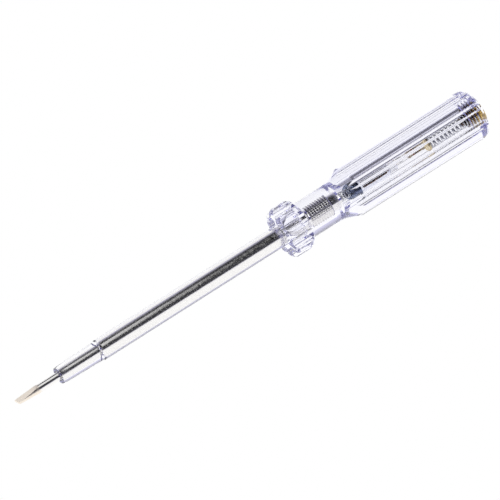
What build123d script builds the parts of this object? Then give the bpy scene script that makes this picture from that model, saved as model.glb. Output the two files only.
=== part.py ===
import math
import os

from build123d import *

# A voltage tester screwdriver, in millimetres.
# The tool lies along X on a surface at Z = 0, with its blade towards -X and its contact cap towards +X.
# While a piece is modelled, X is its distance from the blade's edge and the tool's axis is Y = Z = 0.
# At the end each piece moves to the part's own frame, whose origin is under the middle of the tool.

# Lengths along the tool, from the blade's edge to the end of the handle
blade_length = 8.7
bare_shank_length = 8.4
nose_length = 16.2
sleeve_length = 75.5
collar_length = 8.2
neck_length = 11.7
shoulder_length = 3.2
bevel_length = 5.1
grip_length = 50.1
ear_length = 2.9

# Steel blade shaft
shank_radius = 1.5
rod_radius = 2.0
rod_step_length = 0.5
blade_width = 2.9
blade_edge_thickness = 0.55
blade_root_thickness = 1.5
blade_flat_length = 5.2
blade_roll = -6.0
knurl_radius = 2.5
knurl_depth = 0.3
knurl_length = 8.7
knurl_setback = 2.3
knurl_teeth = 26
knurl_rings = 9
rod_tail_length = 4.6

# Insulating sleeve
nose_front_radius = 2.9
nose_edge_radius = 3.15
nose_round_length = 2.5
nose_back_radius = 3.45
sleeve_radius = 3.75
sleeve_step_length = 0.6
sleeve_seat_depth = 7.0
sleeve_seat_radius = 3.55
sleeve_end_gap = 0.1
sleeve_chamfer_length = 0.2
sleeve_mouth_depth = 0.3
sleeve_fit = 0.03

# Handle moulding
flutes = 8
grip_radius = 8.85
grip_flute_radius = 1.3
grip_flute_depth = 1.05
grip_edge_round = 0.7
shoulder_radius = 6.9
ear_inset = 2.1
collar_radius = 9.19
collar_flute_radius = 1.8
collar_flute_depth = 2.3
collar_edge_round = 1.25
collar_face_round = 2.2
neck_radius = 6.5
neck_fillet = 0.9
chamber_radius = 3.3
chamber_setback = 0.8

# Contact cap and its thread
cap_length = 5.6
cap_recess = 0.2
cap_thread_radius = 3.9
thread_pitch = 1.25
thread_depth = 0.6
thread_crest_width = 0.3
thread_root_width = 0.35
thread_clearance = 0.08
spiral_points = 6
cap_dome_height = 0.7
slot_width = 1.2
slot_depth = 1.4
spigot_radius = 1.9
spigot_length = 1.2
cap_seat_gap = 0.2

# Front spring
front_spring_length = 4.6
front_wire_radius = 0.16
front_coil_radius = 1.6
front_turns = 4
front_end_climb = 0.48

# Rear spring
rear_wire_radius = 0.25
rear_coil_radius = 2.5
rear_turns = 9
rear_end_climb = 0.8

# Neon lamp
lamp_cap_radius = 3.06
lamp_cap_length = 2.4
lamp_cap_wall = 0.25
lamp_cap_fit = 0.02
lamp_radius = 2.8
lamp_wall = 0.45
lamp_length = 14.6
lamp_front_gap = 0.3
lamp_corner_radius = 1.7
press_length = 2.6
press_width = 4.2
press_thickness = 1.7
press_round = 0.5
lamp_roll = 30.0
electrode_radius = 0.42
electrode_length = 9.6
electrode_spacing = 2.3
electrode_setback = 3.6
lamp_wire_radius = 0.13
lamp_wire_spacing = 1.1
lamp_wire_gap = 0.03
lamp_wire_fold = 0.8
lamp_wire_bend = 0.4
cap_solder_radius = 0.42
cap_solder_margin = 0.1

# Resistor, with its leads and the washer behind it
lead_radius = 0.28
front_lead_length = 3.9
front_lead_gap = 1.5
joint_solder_radius = 0.72
joint_solder_length = 1.6
resistor_length = 6.6
resistor_end_radius = 1.4
resistor_waist_radius = 1.15
resistor_end_length = 1.5
resistor_round_share = 0.4
resistor_cap_radius = 1.1
resistor_cap_length = 1.3
resistor_cap_wall = 0.15
resistor_core_radius = 0.8
lacquer_end_wall = 0.15
band_thickness = 0.05
band_width = 0.5
band_spacing = 0.85
band_count = 4
rear_lead_length = 0.9
washer_radius = 2.9
washer_thickness = 0.5

# One overrun for every cut that has to pass right through a face
overrun = 1.0

# Stations along the tool
sleeve_front_x = blade_length + bare_shank_length
rod_step_x = sleeve_front_x + nose_length
collar_front_x = rod_step_x + sleeve_length
neck_front_x = collar_front_x + collar_length
shoulder_front_x = neck_front_x + neck_length
bevel_front_x = shoulder_front_x + shoulder_length
grip_front_x = bevel_front_x + bevel_length
ear_front_x = grip_front_x + grip_length
overall_length = ear_front_x + ear_length

sleeve_shoulder_x = collar_front_x - sleeve_end_gap
sleeve_back_x = collar_front_x + sleeve_seat_depth
knurl_front_x = neck_front_x + knurl_setback
knurl_back_x = knurl_front_x + knurl_length
rod_end_x = knurl_back_x + rod_tail_length
chamber_front_x = rod_end_x - chamber_setback

lamp_cap_front_x = rod_end_x + front_spring_length
lamp_front_x = lamp_cap_front_x + lamp_cap_wall + lamp_front_gap
lamp_cavity_back_x = lamp_front_x + lamp_length - lamp_wall
press_back_x = lamp_front_x + lamp_length + press_length
electrode_back_x = lamp_front_x + electrode_setback + electrode_length
front_lead_x = press_back_x + front_lead_gap
resistor_front_x = front_lead_x + front_lead_length
resistor_back_x = resistor_front_x + resistor_length
washer_front_x = resistor_back_x + rear_lead_length
washer_back_x = washer_front_x + washer_thickness
cap_back_x = overall_length - cap_recess
cap_front_x = cap_back_x - cap_length
rear_spring_length = cap_front_x - washer_back_x

lobe_turn = 360 / flutes


def turned(outline):
    """A solid of revolution about the tool's axis, from an outline of points and edges in X and Y."""
    return revolve(make_face(outline), axis=Axis.X)


def rod(radius, front, back):
    """A plain round length of the tool's axis."""
    from_its_end = (Align.CENTER, Align.CENTER, Align.MIN)
    return Plane.YZ.offset(front) * Cylinder(radius, back - front, align=from_its_end)


def fluted_bar(radius, flute_depth, flute_radius, edge_round, front, back):
    """A round bar with flutes, the first of them straight towards +Y, and rounded edges on its lobes."""
    section = Circle(radius)
    for number in range(flutes):
        flute = Pos(radius - flute_depth + flute_radius, 0) * Circle(flute_radius)
        section -= Rot(0, 0, number * lobe_turn) * flute
    section = fillet(section.vertices(), edge_round)
    return extrude(Plane.YZ.offset(front) * section, back - front)


def biarc(start, start_way, end, end_way):
    """Two arcs that join two points, leave and reach them in given directions, and meet smoothly."""
    chord = end - start
    both = start_way + end_way
    spread = 2 * (1 - start_way.dot(end_way))
    reach = (-chord.dot(both) + math.sqrt(chord.dot(both) ** 2 + spread * chord.dot(chord))) / spread
    middle = (start + start_way * reach + end - end_way * reach) / 2
    first = TangentArc(start, middle, tangent=start_way)
    return [first, TangentArc(middle, end, tangent=first % 1)]


def spring(front, length, coil_radius, wire_radius, turns, end_climb, name):
    """A compression spring round the axis, whose two ends turn square to the faces they press on."""
    straight = 2 * wire_radius
    coil_front = front + straight + end_climb
    pitch = (length - 2 * straight - 2 * end_climb) / turns
    slope = pitch / (2 * math.pi * coil_radius)

    def at(x, turn):
        angle = 2 * math.pi * turn
        return Vector(x, coil_radius * math.cos(angle), coil_radius * math.sin(angle))

    def way(turn):
        angle = 2 * math.pi * turn
        return Vector(slope, -math.sin(angle), math.cos(angle)).normalized()

    # The coil goes by quarter turns, and each end leaves it within an eighth of a turn
    along = Vector(1, 0, 0)
    quarters = 4 * turns
    points = [at(front + straight, -1 / 8)]
    ways = [along]
    for number in range(quarters + 1):
        points.append(at(coil_front + pitch * number / 4, number / 4))
        ways.append(way(number / 4))
    points.append(at(front + length - straight, turns + 1 / 8))
    ways.append(along)
    first = points[0] - along * straight
    last = points[-1] + along * straight
    edges = [Line(first, points[0])]
    for number in range(len(points) - 1):
        edges += biarc(points[number], ways[number], points[number + 1], ways[number + 1])
    edges.append(Line(points[-1], last))
    path = Wire(edges)
    wire = sweep(Plane(origin=first, z_dir=along) * Circle(wire_radius), path=path)

    # The least gap from one turn to the next, measured on points along the wire
    samples = 24 * quarters
    spots = [path @ (number / samples) for number in range(samples + 1)]
    apart = math.ceil(math.pi * coil_radius * samples / path.length)
    nearest = min(
        (spots[other] - spots[number]).length
        for number in range(samples + 1 - apart)
        for other in range(number + apart, samples + 1)
    )
    tightest = min(edge.radius for edge in path.edges().filter_by(GeomType.CIRCLE))
    fill = wire.volume / (math.pi * wire_radius**2 * path.length)
    print(f"{name}: pitch {pitch:.3f} mm, least gap {nearest - 2 * wire_radius:.3f} mm")
    print(f"{name}: tightest bend {tightest:.3f} mm, volume over section times length {fill:.4f}")
    return wire


def screw(clearance, front, back):
    """A right-hand screw of the cap's thread, grown all over by a clearance, between two stations.

    Its ridge passes the cap's front face at the same turn wherever it starts, so cap and bore are in mesh.
    """
    major = cap_thread_radius + clearance
    minor = cap_thread_radius - thread_depth + clearance
    crest_share = (thread_crest_width + 2 * clearance) / thread_pitch
    root_share = (thread_root_width - 2 * clearance) / thread_pitch
    flank_share = (1 - crest_share - root_share) / 2

    def at(radius, turn):
        return Vector(radius * math.cos(2 * math.pi * turn), radius * math.sin(2 * math.pi * turn))

    # Across the axis a single-start thread is a cam: a crest and a root joined by two even spirals
    crest_end = crest_share / 2
    root_start = crest_end + flank_share
    root_end = root_start + root_share
    root_middle = (root_start + root_end) / 2
    falling = []
    rising = []
    for number in range(spiral_points + 1):
        share = number / spiral_points
        radius = major - share * (major - minor)
        falling.append(at(radius, crest_end + share * flank_share))
        rising.append(at(radius, -crest_end - share * flank_share))
    cam = make_face(
        [
            ThreePointArc(at(major, -crest_end), at(major, 0), at(major, crest_end)),
            Spline(*falling),
            ThreePointArc(at(minor, root_start), at(minor, root_middle), at(minor, root_end)),
            Spline(*reversed(rising)),
        ]
    ).face()
    length = back - front
    twist = 360 * length / thread_pitch
    twisted = Solid.extrude_linear_with_rotation(cam, (0, 0, 0), (0, 0, length), twist)
    start_turn = 360 * (front - cap_front_x) / thread_pitch
    return Rot(start_turn, 0, 0) * (Plane.YZ.offset(front) * twisted)


def make_blade_shaft():
    """Steel rod: a ground slotted blade, a thin shank, a thick rod and a knurled anchor in the handle."""
    shank = rod(shank_radius, 0, rod_step_x + overrun)
    width = make_face(
        Polyline(
            (0, -blade_width / 2),
            (0, blade_width / 2),
            (blade_length, shank_radius),
            (blade_length, -shank_radius),
            close=True,
        )
    )
    # Seen on edge, the flats are thin at the blade's edge and sweep out in a hollow to the round shank
    side = make_face(
        [
            Line((0, -blade_edge_thickness / 2), (0, blade_edge_thickness / 2)),
            Line((0, blade_edge_thickness / 2), (blade_flat_length, blade_root_thickness / 2)),
            TangentArc(
                (blade_flat_length, blade_root_thickness / 2),
                (blade_length, shank_radius),
                tangent=(blade_flat_length, (blade_root_thickness - blade_edge_thickness) / 2),
            ),
            Line((blade_length, shank_radius), (blade_length, -shank_radius)),
            TangentArc(
                (blade_length, -shank_radius),
                (blade_flat_length, -blade_root_thickness / 2),
                tangent=(blade_flat_length, (blade_root_thickness - blade_edge_thickness) / 2),
                tangent_from_first=False,
            ),
            Line((blade_flat_length, -blade_root_thickness / 2), (0, -blade_edge_thickness / 2)),
        ]
    )
    blank = rod(shank_radius, 0, blade_length)
    blade = blank & extrude(width, shank_radius, both=True)
    blade &= Rot(90, 0, 0) * extrude(side, shank_radius, both=True)
    shank -= rod(shank_radius + overrun, -overrun, blade_length)
    front = Rot(blade_roll, 0, 0) * (blade + shank)

    thick = turned(
        Polyline(
            (rod_step_x, 0),
            (rod_step_x, shank_radius),
            (rod_step_x + rod_step_length, rod_radius),
            (rod_end_x, rod_radius),
            (rod_end_x, 0),
            close=True,
        )
    )
    return front + thick + make_knurl()


def make_knurl():
    """The anchor: straight teeth crossed by ring grooves, which leave rows of small points."""
    root = knurl_radius - knurl_depth
    step = math.pi / knurl_teeth
    star = []
    for number in range(2 * knurl_teeth):
        radius = knurl_radius if number % 2 == 0 else root
        star.append((radius * math.cos(number * step), radius * math.sin(number * step)))
    teeth = extrude(Plane.YZ.offset(knurl_front_x) * make_face(Polyline(*star, close=True)), knurl_length)
    ring = knurl_length / knurl_rings
    points = [(knurl_front_x, 0), (knurl_front_x, root)]
    for number in range(knurl_rings):
        points.append((knurl_front_x + (number + 0.5) * ring, knurl_radius))
        points.append((knurl_front_x + (number + 1) * ring, root))
    points.append((knurl_back_x, 0))
    return teeth & turned(Polyline(*points, close=True))


def make_sleeve():
    """Clear insulating sleeve: a tapered nose, then a tube with a stepped end that sits in the collar."""
    round_end = (sleeve_front_x + nose_round_length, nose_edge_radius)
    cone = Vector(nose_length - nose_round_length, nose_back_radius - nose_edge_radius)
    chamfer = [
        (sleeve_shoulder_x, sleeve_radius),
        (sleeve_shoulder_x + sleeve_chamfer_length, sleeve_seat_radius),
    ]
    outline = [
        Line((sleeve_front_x, 0), (sleeve_front_x, nose_front_radius)),
        TangentArc(round_end, (sleeve_front_x, nose_front_radius), tangent=-cone),
        Line(round_end, (rod_step_x, nose_back_radius)),
        Line((rod_step_x, nose_back_radius), (rod_step_x + sleeve_step_length, sleeve_radius)),
        Line((rod_step_x + sleeve_step_length, sleeve_radius), chamfer[0]),
        Line(*chamfer),
        Line(chamfer[1], (sleeve_back_x, sleeve_seat_radius)),
        Line((sleeve_back_x, sleeve_seat_radius), (sleeve_back_x, 0)),
        Line((sleeve_back_x, 0), (sleeve_front_x, 0)),
    ]
    bore = turned(
        Polyline(
            (sleeve_front_x - overrun, 0),
            (sleeve_front_x - overrun, shank_radius + sleeve_fit),
            (rod_step_x - sleeve_fit, shank_radius + sleeve_fit),
            (rod_step_x - sleeve_fit + rod_step_length, rod_radius + sleeve_fit),
            (sleeve_back_x + overrun, rod_radius + sleeve_fit),
            (sleeve_back_x + overrun, 0),
            close=True,
        )
    )
    return turned(outline) - bore


def make_handle():
    """Clear handle: a lobed collar, a round neck, a fluted grip, and the bores for what it holds."""
    collar = fluted_bar(
        collar_radius,
        collar_flute_depth,
        collar_flute_radius,
        collar_edge_round,
        collar_front_x,
        neck_front_x,
    )
    collar_envelope = fillet(
        turned(
            Polyline(
                (collar_front_x, 0),
                (collar_front_x, collar_radius),
                (neck_front_x, collar_radius),
                (neck_front_x, 0),
                close=True,
            )
        ).edges(),
        collar_face_round,
    )
    collar &= collar_envelope

    neck = turned(
        [
            Line((neck_front_x, 0), (neck_front_x, neck_radius + neck_fillet)),
            TangentArc(
                (neck_front_x, neck_radius + neck_fillet),
                (neck_front_x + neck_fillet, neck_radius),
                tangent=(0, -1),
            ),
            Line((neck_front_x + neck_fillet, neck_radius), (shoulder_front_x, neck_radius)),
            TangentArc((shoulder_front_x, neck_radius), (bevel_front_x, shoulder_radius), tangent=(1, 0)),
            Line((bevel_front_x, shoulder_radius), (bevel_front_x, 0)),
            Line((bevel_front_x, 0), (neck_front_x, 0)),
        ]
    )

    grip = fluted_bar(
        grip_radius,
        grip_flute_depth,
        grip_flute_radius,
        grip_edge_round,
        bevel_front_x,
        overall_length,
    )
    ear_face_radius = grip_radius - ear_inset
    bevel = [(bevel_front_x, shoulder_radius), (grip_front_x, grip_radius)]
    grip_envelope = turned(
        [
            Line((bevel_front_x, 0), bevel[0]),
            Line(*bevel),
            Line(bevel[1], (ear_front_x, grip_radius)),
            TangentArc((ear_front_x, grip_radius), (overall_length, ear_face_radius), tangent=(1, 0)),
            Line((overall_length, ear_face_radius), (overall_length, 0)),
            Line((overall_length, 0), (bevel_front_x, 0)),
        ]
    )
    body = collar + neck + (grip & grip_envelope)

    body -= rod(sleeve_radius + sleeve_fit, collar_front_x - overrun, collar_front_x + sleeve_mouth_depth)
    body -= rod(sleeve_seat_radius + sleeve_fit, collar_front_x, sleeve_back_x + sleeve_fit)
    body -= rod(rod_radius + sleeve_fit, collar_front_x, chamber_front_x + overrun)
    body -= rod(knurl_radius + sleeve_fit, knurl_front_x - sleeve_fit, knurl_back_x + sleeve_fit)
    cap_seat_x = cap_front_x - cap_seat_gap
    body -= rod(chamber_radius, chamber_front_x, cap_seat_x + overrun)
    return body - screw(thread_clearance, cap_seat_x, overall_length + overrun)


def make_contact_cap():
    """Brass contact cap: a threaded plug with a slot for a coin, and a spigot that holds the spring."""
    core_radius = cap_thread_radius - thread_depth
    # The screw is trimmed to a chamfered front and a domed back
    envelope = turned(
        [
            Line((cap_front_x, 0), (cap_front_x, core_radius)),
            Line((cap_front_x, core_radius), (cap_front_x + thread_depth, cap_thread_radius)),
            Line(
                (cap_front_x + thread_depth, cap_thread_radius),
                (cap_back_x - cap_dome_height - thread_depth, cap_thread_radius),
            ),
            Line(
                (cap_back_x - cap_dome_height - thread_depth, cap_thread_radius),
                (cap_back_x - cap_dome_height, core_radius),
            ),
            RadiusArc(
                (cap_back_x - cap_dome_height, core_radius),
                (cap_back_x, 0),
                (core_radius**2 + cap_dome_height**2) / (2 * cap_dome_height),
            ),
            Line((cap_back_x, 0), (cap_front_x, 0)),
        ]
    )
    cap = screw(0, cap_front_x, cap_back_x) & envelope
    cap += rod(spigot_radius, cap_front_x - spigot_length, cap_front_x)
    slot = Pos(cap_back_x - slot_depth, 0, 0) * Box(
        slot_depth + overrun,
        slot_width,
        2 * (cap_thread_radius + overrun),
        align=(Align.MIN, Align.CENTER, Align.CENTER),
    )
    return cap - slot


def lamp_frame(shape):
    """Turns a lamp piece, modelled with its two electrodes along Y, to the lamp's roll in the tool."""
    return Rot(lamp_roll, 0, 0) * shape


def wire_along(points, radius, bends):
    """A round wire through points that are given in X and Y."""
    path = FilletPolyline(*points, radius=bends)
    start = Plane(origin=path @ 0, z_dir=path % 0)
    return sweep(start * Circle(radius), path=path)


def make_lamp_leads():
    """The lamp's two leads, which leave through the press. The front one folds forward along the glass."""
    inside = electrode_spacing / 2
    sealed = lamp_wire_spacing / 2
    beside = lamp_radius + lamp_wire_gap + lamp_wire_radius
    fold_x = press_back_x + lamp_wire_fold
    bends = lamp_wire_bend
    front_lead = wire_along(
        [
            (electrode_back_x, inside),
            (lamp_cavity_back_x, sealed),
            (fold_x, sealed),
            (fold_x, beside),
            (lamp_cap_front_x + lamp_cap_length, beside),
        ],
        lamp_wire_radius,
        [bends, bends, bends],
    )
    meet = lead_radius + lamp_wire_radius
    rear_lead = wire_along(
        [
            (electrode_back_x, -inside),
            (lamp_cavity_back_x, -sealed),
            (press_back_x + lamp_wire_bend, -sealed),
            (front_lead_x + lamp_wire_bend, -meet),
            (front_lead_x + joint_solder_length + lamp_wire_bend, -meet),
        ],
        lamp_wire_radius,
        [bends, bends, bends],
    )
    return lamp_frame(front_lead), lamp_frame(rear_lead)


def make_lamp_glass(leads):
    """Glass envelope: a domed tube whose back end is pressed flat round the two leads."""
    back = lamp_front_x + lamp_length

    def tube(inset):
        shape = rod(lamp_radius - inset, lamp_front_x + inset, back - inset)
        return fillet(shape.edges().filter_by(GeomType.CIRCLE), lamp_corner_radius - inset)

    press = Pos(back - lamp_corner_radius, 0, 0) * Box(
        lamp_corner_radius + press_length,
        press_width,
        press_thickness,
        align=(Align.MIN, Align.CENTER, Align.CENTER),
    )
    press = fillet(press.edges().filter_by(Axis.X), press_round)
    glass = tube(0) + lamp_frame(press) - tube(lamp_wall)
    for lead in leads:
        glass -= lead
    return glass


def make_electrode(side):
    """One of the lamp's two nickel electrodes."""
    return lamp_frame(
        Pos(0, side * electrode_spacing / 2, 0)
        * rod(electrode_radius, electrode_back_x - electrode_length, electrode_back_x)
    )


def make_lamp_cap():
    """Plated cup on the lamp's front end, which the front spring presses on."""
    cup = rod(lamp_cap_radius, lamp_cap_front_x, lamp_cap_front_x + lamp_cap_length)
    cup = fillet(cup.edges().group_by(Axis.X)[0], lamp_cap_wall)
    hollow = rod(
        lamp_radius + lamp_cap_fit,
        lamp_cap_front_x + lamp_cap_wall,
        lamp_cap_front_x + lamp_cap_length + overrun,
    )
    return cup - hollow


def make_cap_solder():
    """The drop of solder that joins the folded lead to the rim of the lamp's cap, outside the glass."""
    rim_x = lamp_cap_front_x + lamp_cap_length
    reach = chamber_radius - cap_solder_margin - cap_solder_radius
    drop = Pos(rim_x, reach, 0) * Sphere(cap_solder_radius)
    drop -= rod(lamp_radius + lamp_cap_fit, lamp_cap_front_x, rim_x + overrun)
    drop -= rod(lamp_cap_radius, lamp_cap_front_x, rim_x)
    lead_reach = lamp_radius + lamp_wire_gap + lamp_wire_radius
    drop -= Pos(0, lead_reach, 0) * rod(lamp_wire_radius, rim_x, rim_x + overrun)
    return lamp_frame(drop)


def make_joint_solder(lamp_lead, resistor_lead):
    """The solder that joins the lamp's rear lead to the resistor's front lead."""
    drop = Sphere(joint_solder_radius)
    middle = front_lead_x + joint_solder_length / 2
    front = Pos(middle - joint_solder_length / 4, 0, 0) * drop
    back = Pos(middle + joint_solder_length / 4, 0, 0) * drop
    neck = rod(joint_solder_radius, middle - joint_solder_length / 4, middle + joint_solder_length / 4)
    return (front + neck + back) - lamp_lead - resistor_lead


def make_resistor():
    """The resistor: a ceramic core, two pressed-on end caps with leads, and the lacquer over them."""
    inner_front = resistor_front_x + lacquer_end_wall
    inner_back = resistor_back_x - lacquer_end_wall
    core = rod(resistor_core_radius, inner_front + resistor_cap_wall, inner_back - resistor_cap_wall)
    front_cap = rod(resistor_cap_radius, inner_front, inner_front + resistor_cap_length) - core
    rear_cap = rod(resistor_cap_radius, inner_back - resistor_cap_length, inner_back) - core
    front_lead = rod(lead_radius, front_lead_x, inner_front)
    rear_lead = rod(lead_radius, inner_back, washer_back_x)
    waist_front = resistor_front_x + resistor_end_length
    waist_back = resistor_back_x - resistor_end_length
    corner = resistor_end_length * resistor_round_share
    lacquer = turned(
        [
            Line((resistor_front_x, 0), (resistor_front_x, resistor_end_radius - corner)),
            TangentArc(
                (resistor_front_x, resistor_end_radius - corner),
                (resistor_front_x + corner, resistor_end_radius),
                tangent=(0, 1),
            ),
            Spline(
                (resistor_front_x + corner, resistor_end_radius),
                (waist_front, resistor_waist_radius),
                tangents=[(1, 0), (1, 0)],
            ),
            Line((waist_front, resistor_waist_radius), (waist_back, resistor_waist_radius)),
            Spline(
                (waist_back, resistor_waist_radius),
                (resistor_back_x - corner, resistor_end_radius),
                tangents=[(1, 0), (1, 0)],
            ),
            TangentArc(
                (resistor_back_x - corner, resistor_end_radius),
                (resistor_back_x, resistor_end_radius - corner),
                tangent=(1, 0),
            ),
            Line((resistor_back_x, resistor_end_radius - corner), (resistor_back_x, 0)),
            Line((resistor_back_x, 0), (resistor_front_x, 0)),
        ]
    )
    lacquer -= rod(resistor_cap_radius, inner_front, inner_front + resistor_cap_length)
    lacquer -= rod(resistor_cap_radius, inner_back - resistor_cap_length, inner_back)
    lacquer -= core
    lacquer -= rod(lead_radius, resistor_front_x - overrun, resistor_back_x + overrun)

    bands = []
    bands_length = (band_count - 1) * band_spacing + band_width
    first = (resistor_front_x + resistor_back_x - bands_length) / 2
    for number in range(band_count):
        front = first + number * band_spacing
        ring = rod(resistor_waist_radius + band_thickness, front, front + band_width)
        bands.append(ring - rod(resistor_waist_radius, front - overrun, front + band_width + overrun))
    return core, front_cap, rear_cap, front_lead, rear_lead, lacquer, Compound(children=bands)


def make_washer():
    """Brass contact washer that the rear spring presses on, with the resistor's lead through it."""
    washer = rod(washer_radius, washer_front_x, washer_back_x)
    return washer - rod(lead_radius, washer_front_x - overrun, washer_back_x + overrun)


def make_all():
    """Every piece of the tool under its node's name, along the tool's own axis."""
    lamp_leads = make_lamp_leads()
    core, front_cap, rear_cap, front_lead, rear_lead, lacquer, bands = make_resistor()
    return {
        "handle": make_handle(),
        "insulating_sleeve": make_sleeve(),
        "blade_shaft": make_blade_shaft(),
        "front_spring": spring(
            rod_end_x,
            front_spring_length,
            front_coil_radius,
            front_wire_radius,
            front_turns,
            front_end_climb,
            "front spring",
        ),
        "lamp_cap": make_lamp_cap(),
        "lamp_glass": make_lamp_glass(lamp_leads),
        "lamp_left_electrode": make_electrode(1),
        "lamp_right_electrode": make_electrode(-1),
        "lamp_front_lead": lamp_leads[0],
        "lamp_rear_lead": lamp_leads[1],
        "lamp_cap_solder": make_cap_solder(),
        "lead_joint_solder": make_joint_solder(lamp_leads[1], front_lead),
        "resistor_core": core,
        "resistor_front_cap": front_cap,
        "resistor_rear_cap": rear_cap,
        "resistor_front_lead": front_lead,
        "resistor_rear_lead": rear_lead,
        "resistor_lacquer": lacquer,
        "resistor_bands": bands,
        "contact_washer": make_washer(),
        "rear_spring": spring(
            washer_back_x,
            rear_spring_length,
            rear_coil_radius,
            rear_wire_radius,
            rear_turns,
            rear_end_climb,
            "rear spring",
        ),
        "contact_cap": make_contact_cap(),
    }


os.makedirs("parts", exist_ok=True)
pieces = make_all()
# The tool rests on the two lobes on each side of straight down
axis_height = -pieces["handle"].bounding_box().min.Z
print(f"overall length {overall_length:.2f} mm, axis {axis_height:.3f} mm above the surface")
for name, piece in pieces.items():
    export_step(Pos(-overall_length / 2, 0, axis_height) * piece, f"parts/{name}.step")
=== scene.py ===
# %% [markdown]
# A voltage tester screwdriver, dressed in Blender
#
# This lesson dresses a small electrician's tool: a steel blade in a clear sleeve, and a clear fluted
# handle that shows a neon lamp, a resistor and two springs, closed by a brass cap. The shapes that fit
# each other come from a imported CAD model, which stays fixed. Here each surface gets its real finish,
# the springs are wound from round wire, and a white table-top studio is set up round the tool.

# %% Load the fixed model
import math
from collections import namedtuple

import bpy
from mathutils import Matrix, Vector


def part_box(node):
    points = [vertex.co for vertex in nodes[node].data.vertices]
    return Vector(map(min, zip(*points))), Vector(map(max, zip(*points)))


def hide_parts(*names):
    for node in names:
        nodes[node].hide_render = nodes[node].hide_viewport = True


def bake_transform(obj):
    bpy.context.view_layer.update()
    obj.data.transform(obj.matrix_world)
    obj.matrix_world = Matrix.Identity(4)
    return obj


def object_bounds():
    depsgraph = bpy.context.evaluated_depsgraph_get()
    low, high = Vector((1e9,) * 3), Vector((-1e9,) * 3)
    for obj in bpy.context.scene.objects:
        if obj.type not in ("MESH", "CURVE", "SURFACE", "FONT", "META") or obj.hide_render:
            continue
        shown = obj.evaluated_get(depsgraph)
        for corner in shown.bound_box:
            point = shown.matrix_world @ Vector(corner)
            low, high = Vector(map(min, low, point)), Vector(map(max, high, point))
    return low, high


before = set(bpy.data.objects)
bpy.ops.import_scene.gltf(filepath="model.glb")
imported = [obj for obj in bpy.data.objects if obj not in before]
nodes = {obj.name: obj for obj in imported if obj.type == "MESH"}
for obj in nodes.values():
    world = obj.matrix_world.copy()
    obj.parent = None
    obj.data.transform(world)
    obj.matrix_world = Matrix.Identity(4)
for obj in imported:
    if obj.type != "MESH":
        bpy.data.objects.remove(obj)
cad_low, cad_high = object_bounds()
print("the tool measures", [round(1000 * (high - low), 1) for low, high in zip(cad_low, cad_high)], "mm")

# %% [markdown]
# A maker measures a long thin tool from its tip. The CAD model keeps its origin under the middle, so one
# function turns a distance from the blade's edge, in millimetres, to a place on the X axis in metres.
# The tool's axis is the middle of its round sleeve.

# %% Places on the tool
MM = 0.001
sleeve_low, sleeve_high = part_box("insulating_sleeve")
AXIS_Z = (sleeve_low[2] + sleeve_high[2]) / 2


def station(distance):
    """The place on X, in metres, of a distance from the blade's edge in millimetres."""
    return cad_low[0] + distance * MM


print("the axis is", round(AXIS_Z / MM, 3), "mm above the table")

# %% [markdown]
# Colours are given as screen colours, such as #C8A04A. A shader works in linear light, so one
# function turns a screen colour to linear. One more function adds a node, sets it up and links it.

# %% Colour and node helpers


def linear(code):
    """A screen colour such as #C8A04A as linear red, green, blue and alpha."""
    channels = [int(code[place:place + 2], 16) / 255 for place in (1, 3, 5)]
    return [c / 12.92 if c <= 0.04045 else ((c + 0.055) / 1.055) ** 2.4 for c in channels] + [1.0]


def add_node(tree, kind, sockets=None, **settings):
    """Adds a node with its settings. A socket given another node's output is linked, and a value is set."""
    node = tree.nodes.new(kind)
    for name, value in settings.items():
        setattr(node, name, value)
    for name, value in (sockets or {}).items():
        if isinstance(value, bpy.types.NodeSocket):
            tree.links.new(value, node.inputs[name])
        else:
            node.inputs[name].default_value = value
    return node


def new_material(name):
    """An empty material with its output, ready for a shader."""
    material = bpy.data.materials.new(name)
    material.use_nodes = True
    tree = material.node_tree
    tree.nodes.clear()
    return material, tree, add_node(tree, "ShaderNodeOutputMaterial")


def finish_nodes(material, *names):
    """Gives a finish to nodes of the CAD model."""
    for name in names:
        nodes[name].data.materials.clear()
        nodes[name].data.materials.append(material)
    print(material.name, "covers", ", ".join(names))


print("screen grey #808080 is", round(linear("#808080")[0], 3), "in linear light")

# %% [markdown]
# Several finishes change along the tool or with the distance from its axis: a thread is darker at its
# root, and a bore behaves unlike the outside. Object coordinates are in the tool's own frame, so the part
# of that vector across the axis points straight out, and its length is the distance from the axis.

# %% Place on a surface
Place = namedtuple("Place", "point along across radius")


def object_place(tree):
    """The point on the surface, its place along the tool, the way out from the axis and how far out it is."""
    point = add_node(tree, "ShaderNodeTexCoord").outputs["Object"]
    along = add_node(tree, "ShaderNodeSeparateXYZ", {"Vector": point}).outputs["X"]
    across = add_node(
        tree,
        "ShaderNodeVectorMath",
        {0: point, 1: (0, 1, 1), 2: (0, 0, -AXIS_Z)},
        operation="MULTIPLY_ADD",
    ).outputs["Vector"]
    radius = add_node(tree, "ShaderNodeVectorMath", {0: across}, operation="LENGTH").outputs["Value"]
    return Place(point, along, across, radius)


print("a surface is read by its", ", ".join(Place._fields))

# %% [markdown]
# The handle is clear acrylic, moulded in a polished steel mould. Acrylic has an index of refraction of
# 1.49. A trace of violet dye hides the yellow of the raw plastic: it hardly shows through a thin wall,
# but light that runs a long way inside, as it does behind an edge, comes out violet. So the tint is an
# absorption in the volume and not a colour on the surface.
#
# The plastic is moulded round the knurled end of the steel and grips it with no air between. Steel in
# optical contact looks half as thick again as it is, because only the outer surface bends the light.
# The wall of that bore is therefore let through unbent, by a mask on the distance from the axis, while
# the lamp chamber behind it is full of air and keeps its own refraction. A face that looks along the tool,
# such as the front of the sleeve, is no part of the bore, so the mask reads the normal too.
#
# The surface is nearly a mirror, with the slow waves that shrinkage leaves and the fine scuffs of a
# pocket tool: one noise drives the bump and a finer one the roughness.

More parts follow.
